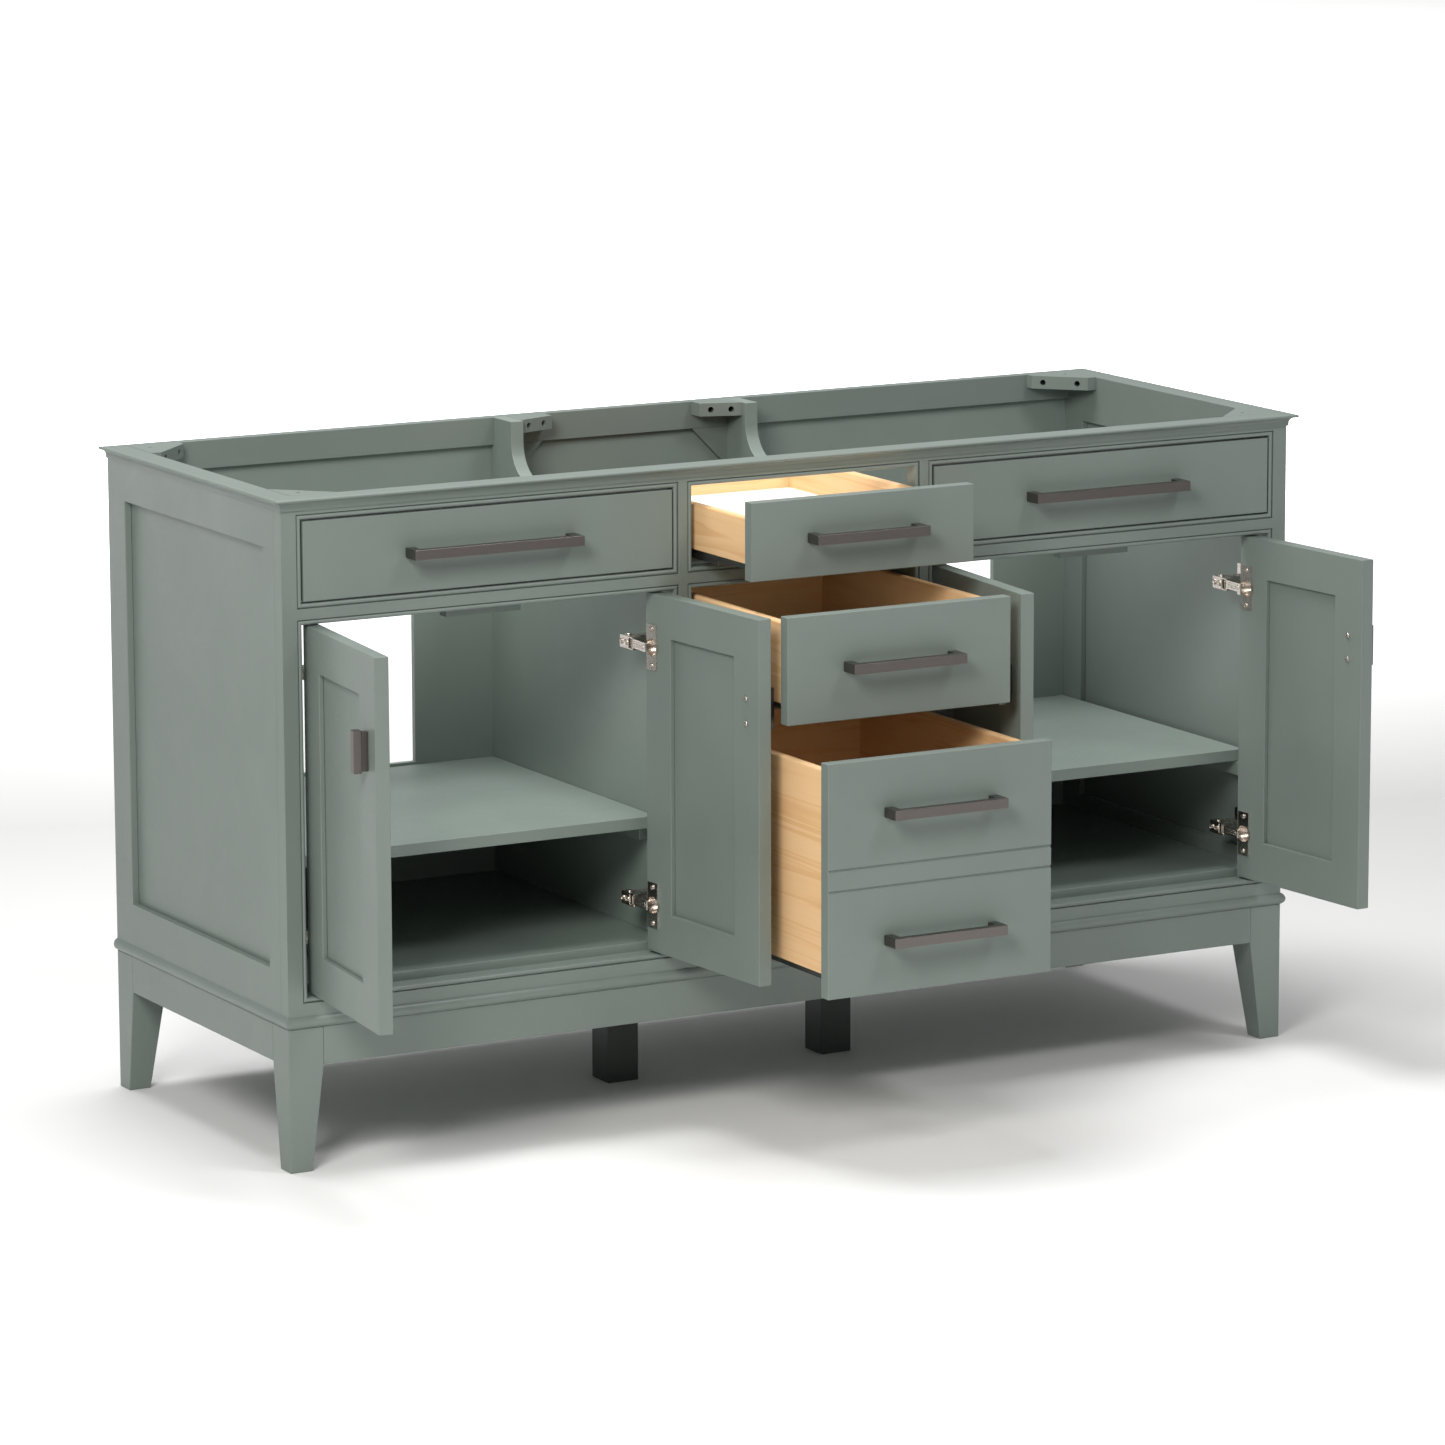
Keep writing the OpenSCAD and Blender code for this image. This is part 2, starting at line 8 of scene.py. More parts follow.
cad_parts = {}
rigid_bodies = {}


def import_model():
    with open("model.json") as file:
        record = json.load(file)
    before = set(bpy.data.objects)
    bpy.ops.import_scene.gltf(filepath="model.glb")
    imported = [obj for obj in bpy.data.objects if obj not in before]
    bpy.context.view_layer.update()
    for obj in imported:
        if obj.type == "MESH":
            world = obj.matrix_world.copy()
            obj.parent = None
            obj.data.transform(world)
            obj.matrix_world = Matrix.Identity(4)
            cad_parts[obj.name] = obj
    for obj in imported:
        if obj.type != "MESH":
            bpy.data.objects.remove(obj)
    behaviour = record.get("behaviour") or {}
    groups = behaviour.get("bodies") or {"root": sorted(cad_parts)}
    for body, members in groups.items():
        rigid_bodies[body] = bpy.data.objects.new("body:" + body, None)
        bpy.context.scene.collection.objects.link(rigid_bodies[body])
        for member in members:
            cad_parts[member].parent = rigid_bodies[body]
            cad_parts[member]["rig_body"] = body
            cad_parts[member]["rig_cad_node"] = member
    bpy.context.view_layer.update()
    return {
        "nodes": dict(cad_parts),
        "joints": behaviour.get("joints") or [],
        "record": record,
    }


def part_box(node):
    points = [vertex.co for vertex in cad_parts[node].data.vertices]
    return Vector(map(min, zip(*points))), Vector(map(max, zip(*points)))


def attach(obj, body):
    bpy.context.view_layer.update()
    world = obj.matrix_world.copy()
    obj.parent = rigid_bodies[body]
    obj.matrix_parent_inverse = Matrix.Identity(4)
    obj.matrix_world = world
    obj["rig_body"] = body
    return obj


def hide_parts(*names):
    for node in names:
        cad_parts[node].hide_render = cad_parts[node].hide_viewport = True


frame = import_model()

MM = 0.001
ROOT = "cabinet"
DOORS = ["door_1", "door_2", "door_3", "door_4"]
DRAWERS = ["drawer_1", "drawer_2", "drawer_3"]
JOINTS = {joint["name"]: joint for joint in frame["joints"]}
BODY_OF = {node: body for body, nodes in frame["record"]["behaviour"]["bodies"].items() for node in nodes}

# A door's places in millimetres: across from its shut hinge edge, back from its shut front face
DOOR_THICK = 19
DOOR_PULL_ACROSS = 232.25
DOOR_PULL_UP = 580
PULL_SCREW_STEP = 16
WING_ACROSS = 15
WING_BACK = 21
WING_SCREW_STEP = 24
LINK_PIN_ACROSS = 34
LINK_PIN_BACK = 46
PLATE_SCREW_ACROSS = -3.5
PLATE_SCREW_BACK = 65
PLATE_SCREW_STEP = 16
ARM_FACE_ACROSS = 38
ARM_SCREWS_BACK = (57, 69)
KNOB_ACROSS = 32
KNOB_BACK = 61
KNOB_RISE = 9.5

# The moving arm of a hinge, in millimetres from its pin, and how it turns with its door, in degrees
LINK_TAIL = 3.5
LINK_LENGTH = 38
LINK_HALF_THICK = 1.4
LINK_HALF_HEIGHT = 6
LINK_RIB_ENDS = (5, 33)
LINK_RIB_EDGES = (0.7, 2.2, 3.6)
LINK_RIB_RISE = 0.6
LINK_SHUT = 59
LINK_SHARE = 0.6

# Pulls, drawer boards and slide clips, in millimetres
BAR_TALL = 13
BAR_DEEP = 11
BAR_POST = 13
BAR_OUT = 28.5
LONG_PULL = 240
BOARD_THICK = 12
BOARD_ROUND = 3.5
CLIP_INWARD = 34
CLIP_HALF = 13


# ---------- finishes ----------

class Tap:
    """One output in a node tree. Arithmetic on it adds Math nodes."""

    def __init__(self, finish, socket):
        self.finish = finish
        self.socket = socket

    def _sum(self, operation, first, second):
        return self.finish.node("ShaderNodeMath", {"operation": operation}, {0: first, 1: second})

    def __add__(self, other):
        return self._sum("ADD", self, other)

    def __radd__(self, other):
        return self._sum("ADD", other, self)

    def __sub__(self, other):
        return self._sum("SUBTRACT", self, other)

    def __rsub__(self, other):
        return self._sum("SUBTRACT", other, self)

    def __mul__(self, other):
        return self._sum("MULTIPLY", self, other)

    def __rmul__(self, other):
        return self._sum("MULTIPLY", other, self)


class Finish:
    """A material and its node tree, with one Principled shader."""

    def __init__(self, name):
        self.material = bpy.data.materials.new(name)
        self.material.use_nodes = True
        self.tree = self.material.node_tree
        self.shader = self.tree.nodes["Principled BSDF"]

    def node(self, kind, settings=None, inputs=None, out=0):
        made = self.tree.nodes.new(kind)
        for key, value in (settings or {}).items():
            if key == "stops":
                self._stops(made.color_ramp.elements, value)
            else:
                setattr(made, key, value)
        for key, value in (inputs or {}).items():
            self._feed(made.inputs[key], value)
        return Tap(self, made.outputs[out])

    def _feed(self, socket, value):
        if isinstance(value, Tap):
            self.tree.links.new(value.socket, socket)
        else:
            socket.default_value = value

    def _stops(self, elements, stops):
        while len(elements) < len(stops):
            elements.new(1.0)
        for element, (place, level) in zip(elements, stops):
            element.position = place
            element.color = (level, level, level, 1)

    def set(self, **values):
        for key, value in values.items():
            self._feed(self.shader.inputs[key.replace("_", " ")], value)

    def coords(self, stretch=(1, 1, 1), shift=(0, 0, 0)):
        """Object coordinates in metres, stretched and shifted"""
        place = self.node("ShaderNodeTexCoord", out="Object")
        return self.node("ShaderNodeMapping", {}, {"Vector": place, "Scale": stretch, "Location": shift})

    def noise(self, where, scale, detail=2.0, rough=0.5, twist=0.0):
        return self.node("ShaderNodeTexNoise", {},
                         {"Vector": where, "Scale": scale, "Detail": detail, "Roughness": rough,
                          "Distortion": twist}, out="Fac")

    def ramp(self, value, stops):
        return self.node("ShaderNodeValToRGB", {"stops": stops}, {"Fac": value})

    def mix(self, factor, first, second):
        """A blend of two colours"""
        made = self.tree.nodes.new("ShaderNodeMix")
        made.data_type = "RGBA"
        self._feed(made.inputs[0], factor)
        for socket, value in ((made.inputs[6], first), (made.inputs[7], second)):
            self._feed(socket, value if isinstance(value, Tap) else (*value, 1))
        return Tap(self, made.outputs[2])

    def bump(self, height, distance, strength):
        self.set(Normal=self.node("ShaderNodeBump", {}, {"Height": height, "Distance": distance,
                                                         "Strength": strength}, out="Normal"))


def painted(name, colour, dark, rough=0.40):
    """Sprayed satin lacquer: faint clouds of tone, a fine orange-peel skin and a few rubbed patches"""
    finish = Finish(name)
    place = finish.coords()
    clouds = finish.noise(place, 5.0, 4.0, 0.55)
    grit = finish.noise(place, 160.0, 3.0)
    peel = finish.noise(place, 520.0, 2.0)
    rubs = finish.ramp(finish.noise(place, 14.0, 5.0, 0.62, 0.6), [(0.52, 0.0), (0.70, 1.0)])
    tone = finish.ramp(clouds, [(0.30, 0.0), (0.72, 1.0)])
    colour_now = finish.mix(tone, dark, colour)
    finish.set(Base_Color=finish.mix(grit * 0.10, colour_now, dark),
               Roughness=rough + (grit - 0.5) * 0.10 - rubs * 0.05)
    finish.bump(peel * 0.7 + grit * 0.3, 0.00012, 0.35)
    return finish.material


def pine(name, along, seed, pale, amber):
    """Clear-lacquered pine: fibres and growth rings drawn out along one axis, with a few small knots"""
    finish = Finish(name)
    fibre = [70.0, 70.0, 70.0]
    fibre[along] = 1.6
    rings = [16.0, 16.0, 16.0]
    rings[along] = 0.9
    shift = (seed * 1.7, seed * 0.9, seed * 2.3)
    warp = finish.noise(finish.coords(rings, shift), 1.0, 3.0, 0.5, 0.8)
    bands = finish.node("ShaderNodeMath", {"operation": "FRACT"}, {0: warp * 7.0})
    late = finish.ramp(bands, [(0.05, 0.15), (0.62, 0.30), (0.90, 1.0), (1.0, 0.10)])
    threads = finish.noise(finish.coords(fibre, shift), 6.0, 3.0, 0.6)
    clouds = finish.noise(finish.coords((1, 1, 1), shift), 6.0, 2.0)
    spots = finish.node("ShaderNodeTexVoronoi", {}, {"Vector": finish.coords(shift=shift), "Scale": 6.5,
                                                     "Randomness": 1.0}, out="Distance")
    knots = finish.ramp(spots, [(0.0, 1.0), (0.045, 0.75), (0.085, 0.0)])
    wood = finish.mix(late * 0.62, pale, amber)
    wood = finish.mix(threads * 0.30, wood, amber)
    wood = finish.mix(clouds * 0.22, wood, pale)
    finish.set(Base_Color=finish.mix(knots, wood, (0.26, 0.12, 0.05)), Roughness=0.42 + threads * 0.16)
    finish.bump(threads * 0.7 + late * 0.3, 0.0003, 0.5)
    return finish.material


def pale_board(name):
    """Thin clear-coated board for the drawer bottoms, almost white"""
    finish = Finish(name)
    fibres = finish.noise(finish.coords((90, 2.5, 90)), 4.0, 3.0, 0.6)
    clouds = finish.noise(finish.coords(), 8.0, 3.0)
    tone = finish.mix(fibres * 0.6, (0.86, 0.83, 0.77), (0.79, 0.74, 0.65))
    finish.set(Base_Color=finish.mix(clouds * 0.4, tone, (0.84, 0.81, 0.75)), Roughness=0.45 + fibres * 0.15)
    finish.bump(fibres, 0.0002, 0.4)
    return finish.material


def brushed(name, colour, along, rough):
    """Metal brushed along one axis, with fine lines and a little uneven tone"""
    finish = Finish(name)
    lines = [900.0, 900.0, 900.0]
    lines[along] = 14.0
    streaks = finish.noise(finish.coords(lines), 1.0, 4.0, 0.6)
    clouds = finish.noise(finish.coords(), 40.0, 3.0)
    dark = tuple(0.72 * c for c in colour)
    finish.set(Base_Color=finish.mix(streaks * 0.6 + clouds * 0.3, dark, colour), Metallic=1.0,
               Roughness=rough + (streaks - 0.5) * 0.16)
    finish.bump(streaks, 0.00004, 0.5)
    return finish.material


def plated(name, colour, rough):
    """Bright plated steel with soft blotches and fine scratches"""
    finish = Finish(name)
    blotches = finish.noise(finish.coords(), 120.0, 4.0, 0.6)
    scratches = finish.noise(finish.coords((1, 1, 14)), 420.0, 3.0, 0.6, 0.5)
    dark = tuple(0.70 * c for c in colour)
    finish.set(Base_Color=finish.mix(blotches, dark, colour), Metallic=1.0,
               Roughness=rough + (scratches - 0.5) * 0.18)
    finish.bump(scratches, 0.00003, 0.5)
    return finish.material


def moulded(name, colour):
    """Moulded plastic with a fine spark-eroded grain"""
    finish = Finish(name)
    grain = finish.noise(finish.coords(), 1400.0, 2.0)
    clouds = finish.noise(finish.coords(), 60.0, 2.0)
    dark = tuple(0.86 * c for c in colour)
    finish.set(Base_Color=finish.mix(clouds, dark, colour), Roughness=0.45 + grain * 0.12)
    finish.bump(grain, 0.00006, 0.5)
    return finish.material


def pale_floor():
    finish = Finish("studio_floor")
    clouds = finish.noise(finish.coords(), 1.5, 3.0)
    finish.set(Base_Color=finish.mix(clouds, (0.74, 0.74, 0.735), (0.78, 0.78, 0.775)), Roughness=0.92)
    return finish.material


PAINT = painted("sage_lacquer", (0.176, 0.210, 0.190), (0.158, 0.190, 0.171))
# The inside parts take the same sage lacquer made about a sixth lighter: painted light brightening the bay
# walls, shelves, cleats, deck and back
LIT_PAINT_INSIDE = painted("sage_lacquer_painted_light_inside", (0.205, 0.248, 0.222), (0.182, 0.222, 0.199), 0.44)
POST_STAIN = painted("black_green_stain", (0.030, 0.038, 0.034), (0.020, 0.026, 0.023), 0.42)
BRONZE = brushed("brushed_bronze", (0.205, 0.184, 0.174), 0, 0.30)
BRONZE_UPRIGHT = brushed("brushed_bronze_upright", (0.205, 0.184, 0.174), 2, 0.36)
NICKEL = plated("nickel_plate", (0.78, 0.72, 0.66), 0.26)
ZINC = plated("dark_zinc", (0.20, 0.20, 0.20), 0.38)
CLIP = moulded("grey_clip_plastic", (0.62, 0.63, 0.64))
BOTTOM_BOARD = pale_board("pale_bottom_board")
# The drawer sides' pine is given darker, more amber colours than the front and back boards' pine: painted
# shade on the sides of the drawers
SHADED_SIDE_PINE = [pine(f"pine_side_painted_shade_{n}", 1, n, (0.80, 0.54, 0.30), (0.60, 0.31, 0.11)) for n in (1, 2, 3)]
CROSS_PINE = [pine(f"pine_cross_{n}", 0, n + 4, (0.88, 0.61, 0.34), (0.76, 0.44, 0.18))
              for n in (1, 2, 3)]


# ---------- modelling ----------

def deselect():
    if bpy.context.object and bpy.context.object.mode != "OBJECT":
        bpy.ops.object.mode_set(mode="OBJECT")
    bpy.ops.object.select_all(action="DESELECT")


def pick(piece):
    deselect()
    piece.select_set(True)
    bpy.context.view_layer.objects.active = piece


def settle(piece):
    """Puts a piece's place and size into its mesh"""
    pick(piece)
    bpy.ops.object.transform_apply(location=True, rotation=True, scale=True)


def apply(piece, kind, **settings):
    pick(piece)
    modifier = piece.modifiers.new(kind.lower(), kind)
    for key, value in settings.items():
        setattr(modifier, key, value)
    bpy.ops.object.modifier_apply(modifier=modifier.name)


def ease(piece, width, segments=2, angle=35):
    """Rounds every sharp edge of a piece and keeps its flats flat"""
    pick(piece)
    bpy.ops.object.shade_smooth()
    apply(piece, "BEVEL", width=width * MM, segments=segments, limit_method="ANGLE",
          angle_limit=math.radians(angle), harden_normals=True, use_clamp_overlap=False)


def dress(piece, material):
    piece.data.materials.clear()
    piece.data.materials.append(material)
    return piece


def start_block(name, low, high):
    """A block between two corners in millimetres, ready to be shaped"""
    deselect()
    size = [b - a for a, b in zip(low, high)]
    centre = [(a + b) / 2 * MM for a, b in zip(low, high)]
    bpy.ops.mesh.primitive_cube_add(size=1, location=centre, scale=[s * MM for s in size])
    piece = bpy.context.object
    piece.name = name
    settle(piece)
    return piece


def start_round(name, centre, radius, depth, axis, sides):
    """A disc or rod about a point in millimetres, along x, y or z"""
    deselect()
    turn = {"x": (0, math.pi / 2, 0), "y": (math.pi / 2, 0, 0), "z": (0, 0, 0)}[axis]
    bpy.ops.mesh.primitive_cylinder_add(vertices=sides, radius=radius * MM, depth=depth * MM,
                                        location=[c * MM for c in centre], rotation=turn)
    piece = bpy.context.object
    piece.name = name
    settle(piece)
    return piece


def choose_faces(piece, test):
    """Enters edit mode with only the faces that pass the test selected"""
    pick(piece)
    bpy.ops.object.mode_set(mode="EDIT")
    bpy.ops.mesh.select_mode(type="FACE")
    bpy.ops.mesh.select_all(action="DESELECT")
    bpy.ops.object.mode_set(mode="OBJECT")
    for face in piece.data.polygons:
        face.select = test(face.center / MM, face.normal)
    bpy.ops.object.mode_set(mode="EDIT")


def slice_at(piece, point, normal):
    pick(piece)
    bpy.ops.object.mode_set(mode="EDIT")
    bpy.ops.mesh.select_all(action="SELECT")
    bpy.ops.mesh.bisect(plane_co=[p * MM for p in point], plane_no=normal)
    bpy.ops.object.mode_set(mode="OBJECT")


def push_out(piece, test, move):
    choose_faces(piece, test)
    bpy.ops.mesh.extrude_region_move(TRANSFORM_OT_translate={"value": [m * MM for m in move]})
    bpy.ops.object.mode_set(mode="OBJECT")


def face_out(piece):
    """Turns every face outwards"""
    pick(piece)
    bpy.ops.object.mode_set(mode="EDIT")
    bpy.ops.mesh.select_all(action="SELECT")
    bpy.ops.mesh.normals_make_consistent(inside=False)
    bpy.ops.object.mode_set(mode="OBJECT")


def joined(name, pieces):
    deselect()
    for piece in pieces:
        piece.select_set(True)
    bpy.context.view_layer.objects.active = pieces[0]
    bpy.ops.object.join()
    whole = bpy.context.object
    whole.name = name
    return whole


def copied(piece, name):
    twin = piece.copy()
    twin.data = piece.data.copy()
    twin.name = name
    bpy.context.scene.collection.objects.link(twin)
    return twin


def eased_copy(node, width, material):
    """A CAD node's shape with its sharp edges eased, shown in its place"""
    piece = copied(frame["nodes"][node], node + "_eased")
    piece.parent = None
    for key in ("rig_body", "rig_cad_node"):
        del piece[key]
    pick(piece)
    bpy.ops.object.mode_set(mode="EDIT")
    bpy.ops.mesh.select_all(action="SELECT")
    bpy.ops.mesh.remove_doubles(threshold=0.00001)
    bpy.ops.mesh.dissolve_limited(angle_limit=math.radians(0.5))
    bpy.ops.object.mode_set(mode="OBJECT")
    if piece.data.has_custom_normals:
        bpy.ops.mesh.customdata_custom_splitnormals_clear()
    ease(piece, width)
    dress(piece, material)
    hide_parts(node)
    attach(piece, BODY_OF[node])


def kept(node, material):
    """A CAD node shown as it is"""
    piece = frame["nodes"][node]
    piece.data.materials.clear()
    piece.data.materials.append(material)


# ---------- places ----------

class Door:
    """A door's place: its hinge corner when shut, which way it opens, and its turn to where it stands"""

    def __init__(self, body):
        self.body = body
        hinge = JOINTS[body + "_hinge"]
        link = JOINTS[body + "_link_hinge"]
        self.side = 1 if hinge["axis"][2] < 0 else -1
        self.pin = Vector(link["pos_m"]) / MM
        self.corner = Vector((self.pin.x - LINK_PIN_ACROSS * self.side, self.pin.y - LINK_PIN_BACK, 0))
        self.open = -hinge["range_deg"][0]
        self.turn = self._turned(hinge, self.open)
        low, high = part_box(body + "_links")
        self.hinge_heights = (low.z / MM + LINK_HALF_HEIGHT, high.z / MM - LINK_HALF_HEIGHT)

    def _turned(self, joint, degrees):
        centre = Matrix.Translation(Vector(joint["pos_m"]))
        spin = Matrix.Rotation(math.radians(degrees), 4, Vector(joint["axis"]))
        return centre @ spin @ centre.inverted()

    def shut_point(self, across, back, up):
        """A point of the shut door, from its hinge corner, in millimetres"""
        return Vector((self.corner.x + self.side * across, self.corner.y + back, up))

    def shut_block(self, name, across, back, up):
        a = self.shut_point(across[0], back[0], up[0])
        b = self.shut_point(across[1], back[1], up[1])
        return start_block(name, [min(p) for p in zip(a, b)], [max(p) for p in zip(a, b)])


def turned(piece, matrix):
    piece.data.transform(matrix)
    return piece


# ---------- screws ----------

def cross_screw(name, centre, facing, radius, height):
    """A pan-head screw with a cross cut in its head; it faces along x or y, one way or the other"""
    axis, way = facing
    along = {"x": Vector((way, 0, 0)), "y": Vector((0, way, 0))}[axis]
    middle = Vector(centre) + along * (height / 2)
    head = start_round(name, middle, radius, height, axis, 24)
    ease(head, radius * 0.35, 3)
    other = Vector((0, 1, 0)) if axis == "x" else Vector((1, 0, 0))
    cuts = []
    for wide, tall in ((radius * 1.1, radius * 0.26), (radius * 0.26, radius * 1.1)):
        reach = along * (height * 0.55) + other * (wide / 2) + Vector((0, 0, tall / 2))
        spot = Vector(centre) + along * (height * 0.85)
        half = Vector([abs(v) for v in reach])
        cuts.append(start_block("cut", list(spot - half), list(spot + half)))
    for cut in cuts:
        apply(head, "BOOLEAN", operation="DIFFERENCE", object=cut, solver="EXACT")
        bpy.data.objects.remove(cut)
    return dress(head, NICKEL)


# ---------- pulls ----------

def bar_pull(name, body, centre, length):
    """A square bar with its two posts drawn back to the front it is screwed to"""
    x, y, z = centre
    piece = start_block(name, (x - length / 2, y - BAR_OUT, z - BAR_TALL / 2),
                        (x + length / 2, y - BAR_OUT + BAR_DEEP, z + BAR_TALL / 2))
    for side in (-1, 1):
        slice_at(piece, (x + side * (length / 2 - BAR_POST), 0, 0), (1, 0, 0))
    push_out(piece, lambda at, n: n.y > 0.9 and abs(at.x - x) > length / 2 - BAR_POST,
             (0, BAR_OUT - BAR_DEEP, 0))
    ease(piece, 0.8, 3)
    dress(piece, BRONZE)
    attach(piece, body)
    return piece


def door_pull(door):
    """A short square bar on a narrower foot"""
    low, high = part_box(door.body + "_pull")
    middle = (low.z + high.z) / 2 / MM
    half = (high.z - low.z) / 2 / MM
    piece = door.shut_block(door.body + "_pull_bar", (DOOR_PULL_ACROSS - 6, DOOR_PULL_ACROSS + 6), (-20, -9),
                            (middle - half, middle + half))
    choose_faces(piece, lambda at, n: n.y > 0.9)
    bpy.ops.mesh.inset(thickness=2 * MM, depth=0)
    bpy.ops.mesh.extrude_region_move(TRANSFORM_OT_translate={"value": (0, 9 * MM, 0)})
    bpy.ops.object.mode_set(mode="OBJECT")
    ease(piece, 0.8, 3)
    turned(piece, door.turn)
    dress(piece, BRONZE_UPRIGHT)
    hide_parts(door.body + "_pull")
    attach(piece, door.body)


# ---------- hinges ----------

def hinge_link(door):
    """The moving arm of each hinge, pressed with three ribs along it, turned to suit the open door"""
    swing = math.radians(LINK_SHUT - LINK_SHARE * door.open)
    near, far = LINK_RIB_ENDS
    inner, middle, outer = LINK_RIB_EDGES
    made = []
    for up in door.hinge_heights:
        arm = start_block("arm", (-LINK_TAIL, -LINK_HALF_THICK, -LINK_HALF_HEIGHT),
                          (LINK_LENGTH, LINK_HALF_THICK, LINK_HALF_HEIGHT))
        for rib in (-outer, -middle, -inner, inner, middle, outer):
            slice_at(arm, (0, 0, rib), (0, 0, 1))
        for end in LINK_RIB_ENDS:
            slice_at(arm, (end, 0, 0), (1, 0, 0))
        push_out(arm, lambda at, n: (n.y > 0.9 and near < at.x < far
                                     and (abs(at.z) < inner or middle < abs(at.z) < outer)),
                 (0, LINK_RIB_RISE, 0))
        ease(arm, 0.35, 2)
        rivet = start_round("rivet", (33.5, LINK_HALF_THICK, 0), 2.0, 1.0, "y", 20)
        ease(rivet, 0.3, 2)
        whole = joined("arm", [arm, rivet])
        way = Matrix.Rotation(swing - math.pi / 2, 4, "Z")
        if door.side < 0:
            way = Matrix.Diagonal((-1, 1, 1, 1)) @ way
        place = Matrix.Translation(Vector((door.pin.x, door.pin.y, up)) * MM)
        turned(whole, place @ way)
        made.append(whole)
    arms = joined(door.body + "_hinge_arms", made)
    face_out(arms)
    dress(arms, NICKEL)
    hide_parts(door.body + "_links")
    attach(arms, door.body + "_links")


def hinge_screws(door):
    """Screws of the hinges' wing plates and of the pull, on the back of the door"""
    on_door = []
    for up in door.hinge_heights:
        for step in (-WING_SCREW_STEP, WING_SCREW_STEP):
            spot = door.shut_point(WING_ACROSS, WING_BACK, up + step)
            on_door.append(cross_screw("screw", spot, ("y", 1), 3.4, 1.4))
    for step in (-PULL_SCREW_STEP, PULL_SCREW_STEP):
        spot = door.shut_point(DOOR_PULL_ACROSS, DOOR_THICK, DOOR_PULL_UP + step)
        on_door.append(cross_screw("screw", spot, ("y", 1), 3.8, 2.0))
    screws = turned(joined(door.body + "_screws", on_door), door.turn)
    dress(screws, NICKEL)
    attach(screws, door.body)


def hinge_plates(door):
    """Screws of each fixed hinge half, two through its plate and two in its arm, and its small knob"""
    made = []
    inwards = ("x", door.side)
    for up in door.hinge_heights:
        for step in (-PLATE_SCREW_STEP, PLATE_SCREW_STEP):
            spot = door.shut_point(PLATE_SCREW_ACROSS, PLATE_SCREW_BACK, up + step)
            made.append(cross_screw("screw", spot, inwards, 3.4, 1.6))
        for back in ARM_SCREWS_BACK:
            made.append(cross_screw("screw", door.shut_point(ARM_FACE_ACROSS, back, up), inwards, 3.8, 1.2))
        spot = door.shut_point(KNOB_ACROSS, KNOB_BACK, up + KNOB_RISE)
        knob = start_round("knob", spot, 4.5, 2.4, "z", 28)
        ease(knob, 0.7, 3)
        made.append(knob)
    whole = joined(door.body + "_hinge_plates", made)
    dress(whole, NICKEL)
    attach(whole, ROOT)


# ---------- drawers ----------

def drawer_boards(drawer, number):
    """Two sides, a back and a sub-front, with their top edges rounded over"""
    low, high = (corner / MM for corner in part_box(drawer + "_box"))
    thick = BOARD_THICK
    left = ((low.x, low.y, low.z), (low.x + thick, high.y, high.z))
    right = ((high.x - thick, low.y, low.z), (high.x, high.y, high.z))
    front = ((low.x + thick, low.y, low.z), (high.x - thick, low.y + thick, high.z - 1))
    back = ((low.x + thick, high.y - thick, low.z), (high.x - thick, high.y, high.z - 1))
    # The side boards take the darker pine, which is painted shade
    for name, ends, wood in (("left", left, SHADED_SIDE_PINE), ("right", right, SHADED_SIDE_PINE),
                             ("front", front, CROSS_PINE), ("back", back, CROSS_PINE)):
        board = start_block(f"{drawer}_{name}_board", *ends)
        long_way = 1 if name in ("left", "right") else 0
        top = ends[1][2]
        pick(board)
        bpy.ops.object.mode_set(mode="EDIT")
        bpy.ops.mesh.select_mode(type="EDGE")
        bpy.ops.mesh.select_all(action="DESELECT")
        bpy.ops.object.mode_set(mode="OBJECT")
        for edge in board.data.edges:
            a, b = (board.data.vertices[v].co for v in edge.vertices)
            edge.select = min(a.z, b.z) > (top - 0.1) * MM and abs(a[long_way] - b[long_way]) > 0.1
        bpy.ops.object.mode_set(mode="EDIT")
        bpy.ops.mesh.bevel(offset=BOARD_ROUND * MM, segments=4, affect="EDGES")
        bpy.ops.object.mode_set(mode="OBJECT")
        ease(board, 0.4, 2, 50)
        dress(board, wood[number])
        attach(board, drawer)
    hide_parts(drawer + "_box")


def slide_clips(drawer):
    """Front locking clip of each slide, under the drawer's front board and beside the slide"""
    low, high = (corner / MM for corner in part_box(drawer + "_box"))
    made = []
    for side in (-1, 1):
        x = side * (high.x - CLIP_INWARD)
        clip = start_block("clip", (x - CLIP_HALF, low.y + 2, low.z - 9.5),
                           (x + CLIP_HALF, low.y + 44, low.z - 0.2))
        tab_end = low.y + 16
        slice_at(clip, (0, tab_end, 0), (0, 1, 0))
        push_out(clip, lambda at, n: n.z < -0.9 and at.y < tab_end, (0, 0, -7))
        ease(clip, 1.2, 2)
        made.append(clip)
    whole = joined(drawer + "_slide_clips", made)
    dress(whole, CLIP)
    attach(whole, drawer)


# ---------- building ----------

PAINTED = {"side_frames": 1.0, "face_frame": 0.6, "back_rail": 0.8, "base_aprons": 0.8, "corner_legs": 1.2,
           "false_fronts": 1.0}
# Inside parts and their edge widths; they take the lighter copy of the sage lacquer, which is painted light
INSIDE = {"partition_left": 0.8, "partition_right": 0.8, "floor_deck": 0.8, "shelves": 1.0,
          "shelf_cleats": 1.0, "back_panel": 0.6}


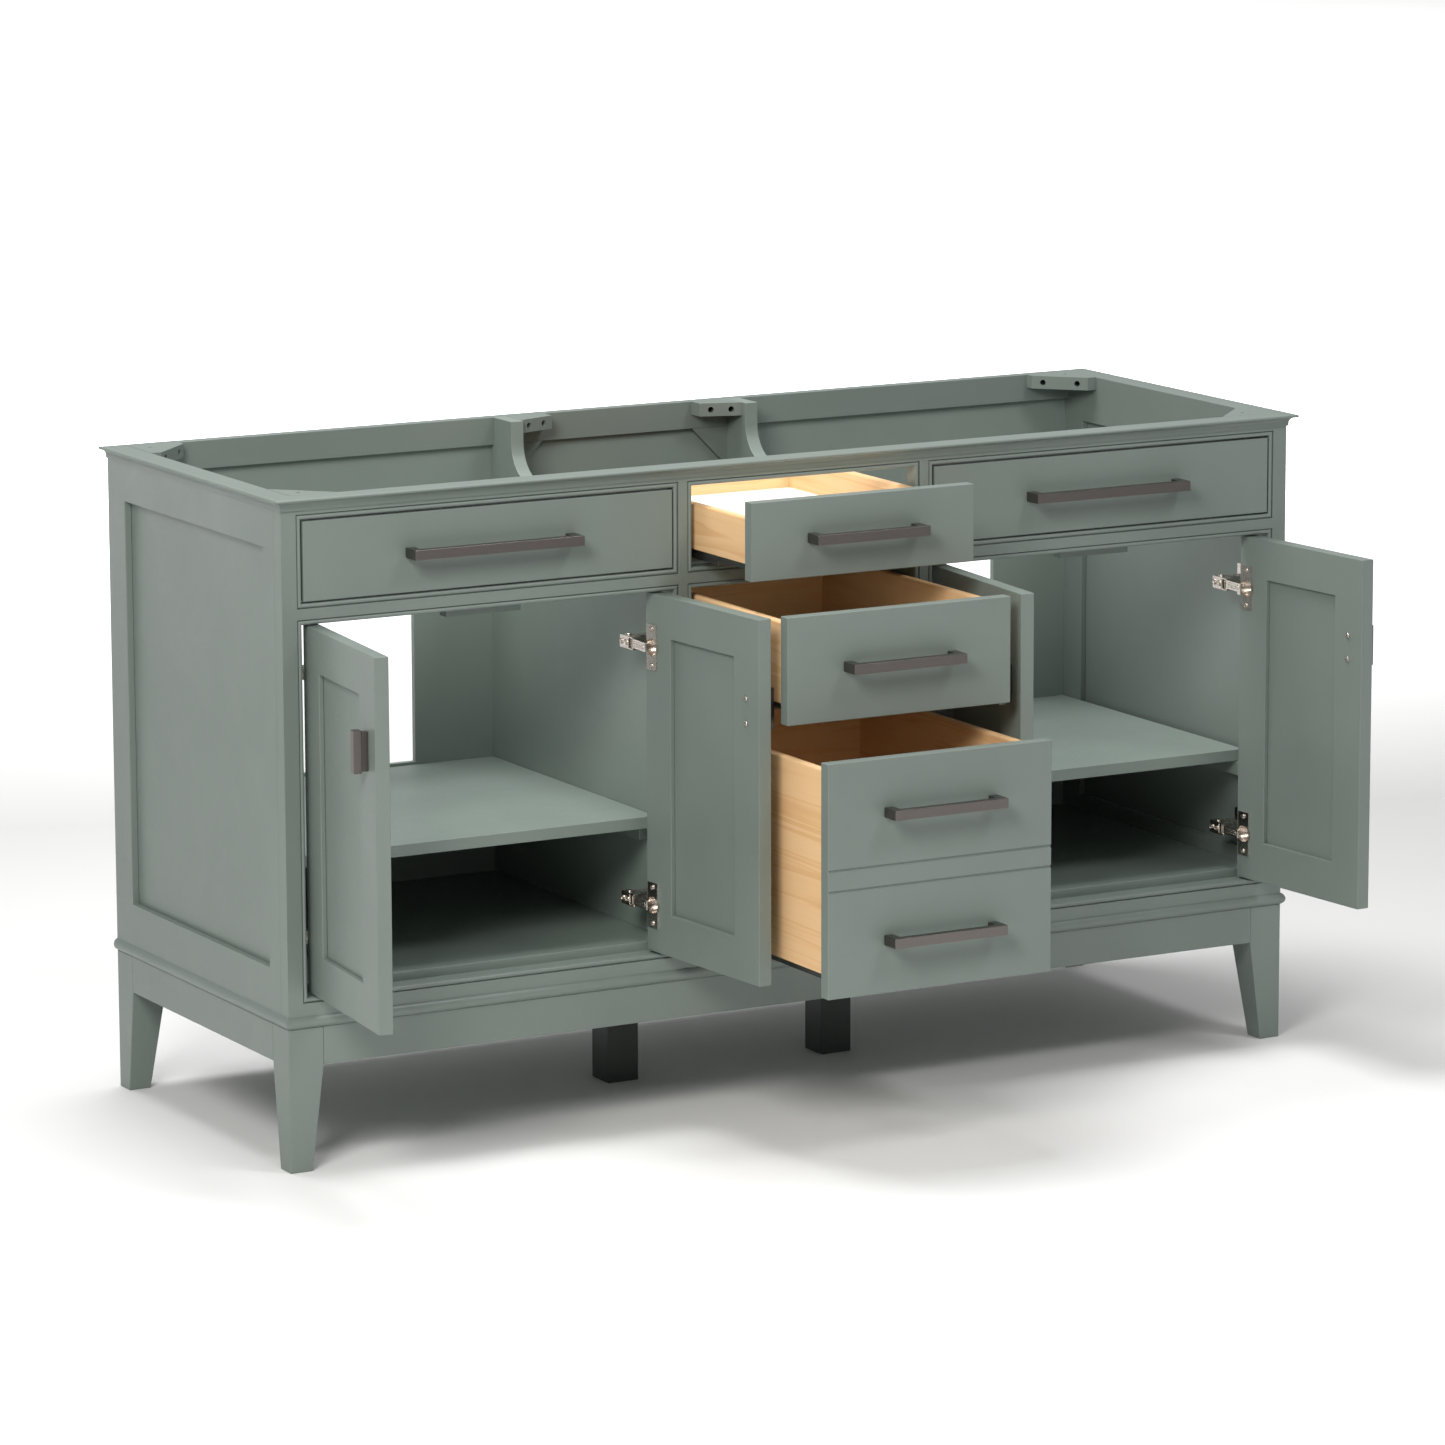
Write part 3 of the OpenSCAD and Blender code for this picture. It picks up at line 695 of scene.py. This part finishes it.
def carcass():
    for node, width in PAINTED.items():
        eased_copy(node, width, PAINT)
    for node, width in INSIDE.items():
        eased_copy(node, width, LIT_PAINT_INSIDE)
    eased_copy("centre_posts", 1.2, POST_STAIN)
    for node in ("side_panels", "opening_beads", "top_moulding", "corner_blocks", "base_bead"):
        kept(node, PAINT)
    for node in ("slide_rails", "middle_slides_1", "middle_slides_2", "middle_slides_3"):
        kept(node, ZINC)
    eased_copy("hinge_mounts", 0.4, NICKEL)


def false_front_pulls():
    """One long pull at each end of the box that both pulls fill"""
    low, high = (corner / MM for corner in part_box("false_front_pulls"))
    height = (low.z + high.z) / 2
    for side, middle in (("left", low.x + LONG_PULL / 2), ("right", high.x - LONG_PULL / 2)):
        bar_pull(f"false_front_{side}_pull", ROOT, (middle, high.y, height), LONG_PULL)
    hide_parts("false_front_pulls")


def whole_door(name):
    place = Door(name)
    eased_copy(name + "_frame", 1.0, PAINT)
    kept(name + "_panel", PAINT)
    kept(name + "_cups", NICKEL)
    door_pull(place)
    hinge_link(place)
    hinge_screws(place)
    hinge_plates(place)


def drawer_pulls(name):
    """One pull, or two where their box is taller than one bar"""
    low, high = (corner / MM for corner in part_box(name + "_pull"))
    heights = [(low.z + high.z) / 2]
    if high.z - low.z > 1.5 * BAR_TALL:
        heights = [low.z + BAR_TALL / 2, high.z - BAR_TALL / 2]
    made = [bar_pull(f"{name}_pull_{order + 1}", name, (0, high.y, height), high.x - low.x)
            for order, height in enumerate(heights)]
    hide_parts(name + "_pull")


def whole_drawer(name, number):
    eased_copy(name + "_front", 1.0, PAINT)
    kept(name + "_bottom", BOTTOM_BOARD)
    kept(name + "_runners", ZINC)
    drawer_boards(name, number)
    slide_clips(name)
    drawer_pulls(name)


carcass()
false_front_pulls()
for door_name in DOORS:
    whole_door(door_name)
for drawer_number, drawer_name in enumerate(DRAWERS):
    whole_drawer(drawer_name, drawer_number)


# ---------- studio ----------

CAMERA_PLACE = (-4.1317, -7.7742, 2.0996)
CAMERA_TURN = (28.970, 10.787, -0.182)
CAMERA_LENS = 161.77
SENSOR_WIDTH = 36
SKY_STRENGTH = 0.36
WARM_WHITE = (1.0, 0.985, 0.955)


def studio_floor():
    deselect()
    bpy.ops.mesh.primitive_plane_add(size=90, location=(0, 15, 0))
    floor = bpy.context.object
    floor.name = "floor"
    floor.data.materials.append(pale_floor())


def studio_air():
    world = bpy.data.worlds.new("studio")
    bpy.context.scene.world = world
    world.use_nodes = True
    sky = world.node_tree.nodes["Background"]
    sky.inputs["Color"].default_value = (1.0, 1.0, 1.0, 1)
    sky.inputs["Strength"].default_value = SKY_STRENGTH


def softbox(name, place, aim, wide, high, power, colour=(1, 1, 1)):
    data = bpy.data.lights.new(name, "AREA")
    data.shape = "RECTANGLE"
    data.size = wide
    data.size_y = high
    data.energy = power
    data.color = colour
    lamp = bpy.data.objects.new(name, data)
    lamp.location = place
    lamp.rotation_euler = (Vector(aim) - Vector(place)).to_track_quat("-Z", "Y").to_euler()
    bpy.context.scene.collection.objects.link(lamp)


def studio_camera():
    """A long lens, turned right and down from straight along y, with a slight roll"""
    data = bpy.data.cameras.new("camera")
    data.lens = CAMERA_LENS
    data.sensor_width = SENSOR_WIDTH
    data.clip_end = 200
    camera = bpy.data.objects.new("camera", data)
    yaw, pitch, roll = (math.radians(a) for a in CAMERA_TURN)
    camera.matrix_world = (Matrix.Translation(CAMERA_PLACE) @ Matrix.Rotation(-yaw, 4, "Z")
                           @ Matrix.Rotation(math.pi / 2 - pitch, 4, "X") @ Matrix.Rotation(roll, 4, "Z"))
    bpy.context.scene.collection.objects.link(camera)
    bpy.context.scene.camera = camera


studio_floor()
studio_air()
softbox("key", (1.6, -3.2, 4.4), (0, -0.3, 0.4), 1.2, 1.2, 60)
softbox("front", (-3.0, -3.0, 3.0), (0.1, -0.3, 0.5), 1.5, 1.5, 135, WARM_WHITE)
softbox("overhead", (-0.4, 0.2, 4.2), (0.1, -1.2, 0.0), 1.8, 1.8, 150)
softbox("background", (0, 7, 7), (4, 16, 0), 10, 6, 5200)
studio_camera()

bpy.context.scene.view_settings.view_transform = "Standard"
